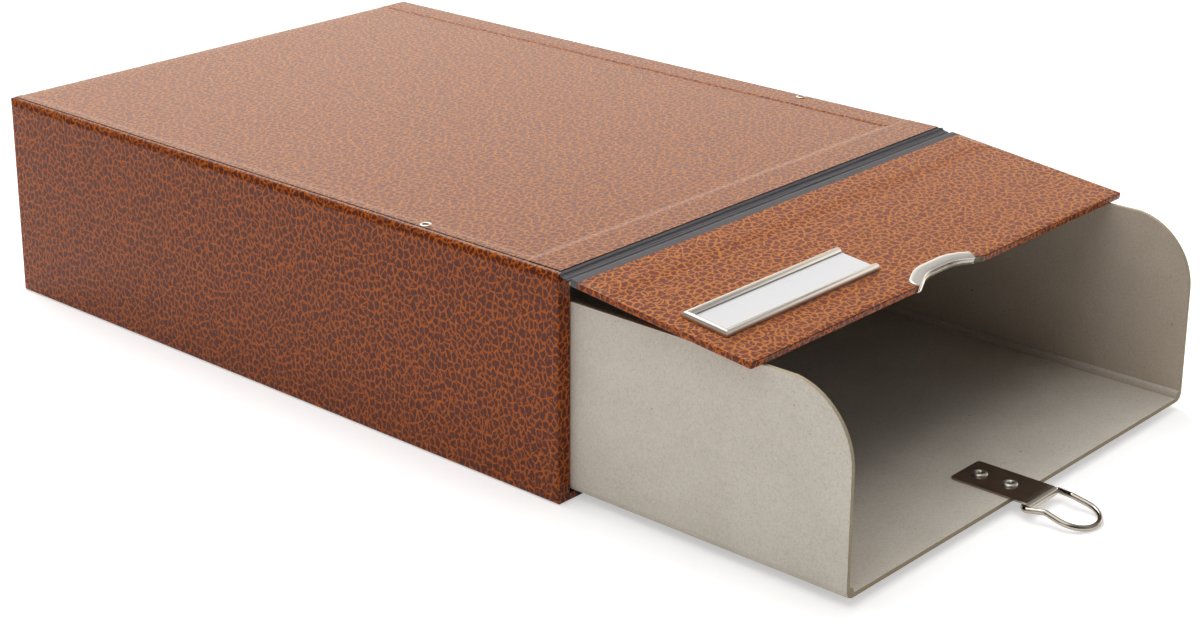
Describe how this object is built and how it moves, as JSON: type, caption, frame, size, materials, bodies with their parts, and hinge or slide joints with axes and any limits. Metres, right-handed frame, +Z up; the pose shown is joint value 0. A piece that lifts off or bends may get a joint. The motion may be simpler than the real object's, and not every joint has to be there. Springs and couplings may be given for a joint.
{
  "type": "file box with drawer",
  "caption": "Covered board file box: thick-sided case, cloth-hinged flap with thumb notch and label holder, and a folded board drawer with a ring pull.",
  "frame": {"origin": "centre of the case's underside", "axes": "+Y from the mouth to the back of the case, +Z up, +X to the right seen from the mouth"},
  "size_m": [0.255, 0.513, 0.0967],
  "materials": {
    "cover_paper": "printed leather pattern, satin",
    "grey_board": "matt grey board",
    "drawer_board": "matt grey board with fine flecks",
    "black_paper": "matt black",
    "bookcloth": "embossed dark bookcloth",
    "nickel": "nickel plated",
    "bronzed_steel": "dark satin",
    "white_card": "matt white card"
  },
  "bodies": {
    "case": {"case_bottom_board": "grey_board", "case_top_board": "grey_board", "case_back_panel": "grey_board", "case_left_panel": "grey_board", "case_right_panel": "grey_board", "case_left_paper": "cover_paper", "case_right_paper": "cover_paper", "case_top_paper": "cover_paper", "case_back_paper": "cover_paper", "case_under_sheet": "black_paper", "case_lining": "black_paper", "case_eyelets": "nickel", "hinge_cloth_case": "bookcloth"},
    "flap": {"flap_board": "grey_board", "flap_paper": "cover_paper", "flap_lining": "black_paper", "hinge_cloth_flap": "bookcloth", "thumb_clip": "nickel", "label_holder": "nickel"},
    "label_card": {"label_card": "white_card"},
    "drawer": {"drawer_tray": "drawer_board", "drawer_back": "drawer_board", "drawer_back_stitches": "nickel", "pull_strap": "bronzed_steel", "pull_strap_rivets": "nickel"},
    "pull_ring": {"pull_ring": "nickel"}
  },
  "joints": [
    {"name": "drawer_slide", "type": "slide", "parent": "case", "child": "drawer", "axis": [0, -1, 0], "range_m": [-0.1295, 0.15]},
    {"name": "flap_hinge", "type": "hinge", "parent": "case", "child": "flap", "pos_m": [0, -0.1772, 0.09345], "axis": [-1, 0, 0], "range_deg": [0, 110]},
    {"name": "ring_hinge", "type": "hinge", "parent": "drawer", "child": "pull_ring", "pos_m": [-0.0044, -0.3128, 0.0039], "axis": [-1, 0, 0], "range_deg": [0, 105]},
    {"name": "card_slide", "type": "slide", "parent": "flap", "child": "label_card", "axis": [1, 0, 0], "range_m": [0, 0.09]}
  ]
}
